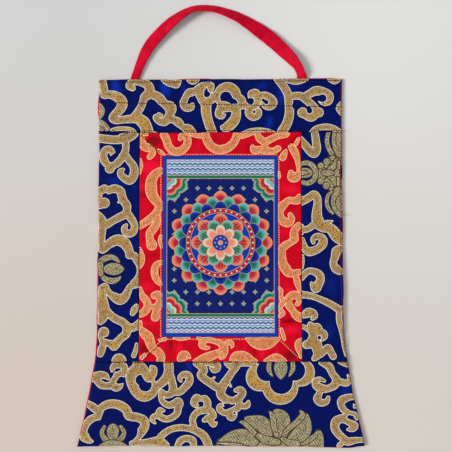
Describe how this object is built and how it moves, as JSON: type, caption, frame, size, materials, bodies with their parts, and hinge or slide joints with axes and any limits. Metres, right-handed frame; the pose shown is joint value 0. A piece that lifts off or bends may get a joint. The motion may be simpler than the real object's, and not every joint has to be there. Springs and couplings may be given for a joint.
{
  "type": "thangka scroll painting",
  "caption": "Small brocade-mounted thangka: a printed cloth picture in a mitred red border and blue brocade bands that flare at the foot, with a red lining and a sewn cloth hanging strap.",
  "frame": {"origin": "middle of the hanging's box across and along it, on the plane that its back lies on", "axes": "+X to the right across the face, +Y up the face towards the hanging strap, +Z out of the face"},
  "size_m": [0.2847, 0.4397, 0.0093],
  "materials": {
    "blue_brocade": "satin brocade with woven gold scrolls",
    "red_brocade": "satin brocade with woven gold scrolls",
    "printed_cloth": "fine printed cloth",
    "red_lining": "plain weave",
    "strap_cloth": "plain weave, folded and stitched"
  },
  "bodies": {
    "root": {"lining": "red_lining", "picture": "printed_cloth", "border_head": "red_brocade", "border_foot": "red_brocade", "border_left": "red_brocade", "border_right": "red_brocade", "head_band": "blue_brocade", "foot_band": "blue_brocade", "left_band": "blue_brocade", "right_band": "blue_brocade", "hanging_strap": "strap_cloth"}
  },
  "joints": []
}
